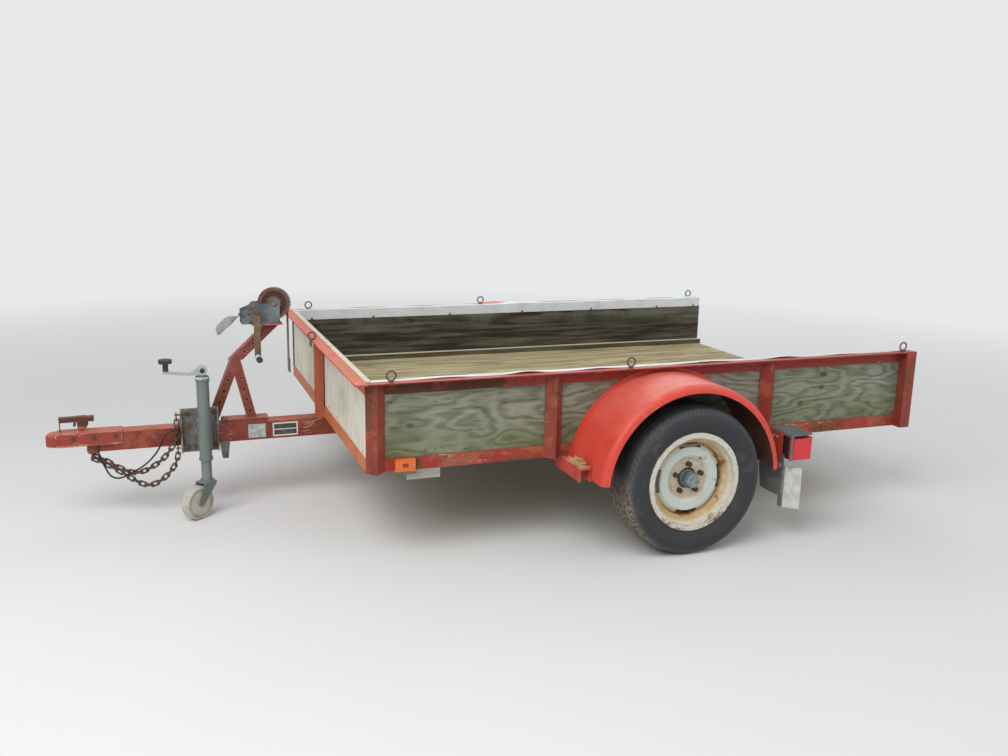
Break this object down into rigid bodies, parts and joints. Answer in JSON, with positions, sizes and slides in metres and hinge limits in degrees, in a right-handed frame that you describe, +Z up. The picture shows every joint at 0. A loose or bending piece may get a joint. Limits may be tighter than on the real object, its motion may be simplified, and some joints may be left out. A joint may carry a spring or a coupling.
{
  "type": "utility trailer",
  "caption": "Single-axle utility trailer with an open plank-floored bed, plywood walls in a steel angle frame, a tube tongue with ball coupler, swing-up caster jack and hand winch.",
  "frame": {"origin": "on the floor, under the middle of the overall length and width", "axes": "+X forward to the coupler, +Y to the left side, +Z up"},
  "size_m": [3.559, 2.304, 0.945],
  "materials": {
    "red_paint": "faded, chalky red paint with rust",
    "orange_paint": "orange-red paint",
    "galvanised": "dull galvanised sheet",
    "cream_strip": "cream, worn",
    "ply_wall": "weathered grey-green plywood",
    "ply_front": "pale grey weathered plywood",
    "plank": "weathered planks",
    "rusty_steel": "rusty",
    "zinc": "dull zinc plate",
    "dark_steel": "dark, dirty",
    "amber_lens": "glossy",
    "red_lens": "glossy",
    "black_plastic": "matte",
    "grey_paint": "grey paint",
    "white_rim": "off-white paint with rust",
    "tyre": "dusty rubber",
    "caster": "pale, dirty",
    "flap": "grey and white, dull",
    "plate": "blank plates",
    "grip": "white grip",
    "chain": "rusty links",
    "strap": "worn webbing",
    "pale_webbing": "sun-bleached webbing",
    "cord": "black"
  },
  "bodies": {
    "chassis": {"side_lower_rails": "red_paint", "end_rails": "red_paint", "side_top_rails": "red_paint", "front_top_rail": "orange_paint", "side_posts": "red_paint", "front_post": "orange_paint", "floor_beams": "red_paint", "floor_planks": "plank", "side_panels": "ply_wall", "front_panels": "ply_front", "side_trims": "galvanised", "front_trim": "cream_strip", "eye_bolts": "zinc", "rail_ring": "zinc", "marker_lamps": "amber_lens", "wood_blocks": "plank", "axle_beam": "dark_steel", "leaf_springs": "dark_steel", "spring_hangers": "dark_steel", "spring_clamps": "dark_steel", "fenders": "red_paint", "fender_arms": "orange_paint", "lamp_brackets": "red_paint", "lamp_hoods": "grey_paint", "tail_lamps": "black_plastic", "lamp_lenses": "red_lens", "mud_flaps": "flap", "tongue_tube": "red_paint", "tongue_plates": "plate", "coupler_body": "red_paint", "coupler_latch": "rusty_steel", "chain_bracket": "dark_steel", "safety_chains": "chain", "wiring_cord": "cord", "winch_stand": "red_paint", "winch_frame": "grey_paint", "winch_strap": "pale_webbing", "winch_tail": "strap", "jack_mount": "dark_steel"},
    "wheel_left": {"tyre_left": "tyre", "rim_left": "white_rim", "hub_left": "dark_steel"},
    "wheel_right": {"tyre_right": "tyre", "rim_right": "white_rim", "hub_right": "dark_steel"},
    "drum": {"winch_drum": "rusty_steel"},
    "crank": {"winch_crank": "rusty_steel", "winch_grip": "grip"},
    "jack": {"jack_tube": "grey_paint"},
    "handle": {"jack_crank": "grey_paint", "jack_knob": "black_plastic"},
    "inner_tube": {"jack_leg": "grey_paint"},
    "caster": {"caster_fork": "grey_paint"},
    "caster_round": {"caster_wheel": "caster"}
  },
  "joints": [
    {"name": "wheel_left_spin", "type": "hinge", "parent": "chassis", "child": "wheel_left", "pos_m": [-0.5605, 1.045, 0.295], "axis": [0, 1, 0], "continuous": true},
    {"name": "wheel_right_spin", "type": "hinge", "parent": "chassis", "child": "wheel_right", "pos_m": [-0.5605, -1.045, 0.295], "axis": [0, 1, 0], "continuous": true},
    {"name": "drum_spin", "type": "hinge", "parent": "chassis", "child": "drum", "pos_m": [0.8615, 0, 0.875], "axis": [0, 1, 0], "continuous": true},
    {"name": "crank_spin", "type": "hinge", "parent": "chassis", "child": "crank", "pos_m": [0.9395, 0, 0.846], "axis": [0, 1, 0], "continuous": true},
    {"name": "jack_fold", "type": "hinge", "parent": "chassis", "child": "jack", "pos_m": [1.1695, 0.08, 0.35], "axis": [0, 1, 0], "range_deg": [0, 90]},
    {"name": "jack_lift", "type": "slide", "parent": "jack", "child": "inner_tube", "axis": [0, 0, 1], "range_m": [-0.25, 0.08]},
    {"name": "handle_turn", "type": "hinge", "parent": "jack", "child": "handle", "pos_m": [1.1695, 0.125, 0.6], "axis": [0, 0, 1], "continuous": true},
    {"name": "caster_swivel", "type": "hinge", "parent": "inner_tube", "child": "caster", "pos_m": [1.1695, 0.125, 0.15], "axis": [0, 0, 1], "continuous": true},
    {"name": "caster_spin", "type": "hinge", "parent": "caster", "child": "caster_round", "pos_m": [1.21284, 0.15886, 0.07], "axis": [-0.6157, 0.788, 0], "continuous": true}
  ],
  "couplings": [
    {"joint": "crank_spin", "follows": "drum_spin", "ratio": -5.3846}
  ]
}
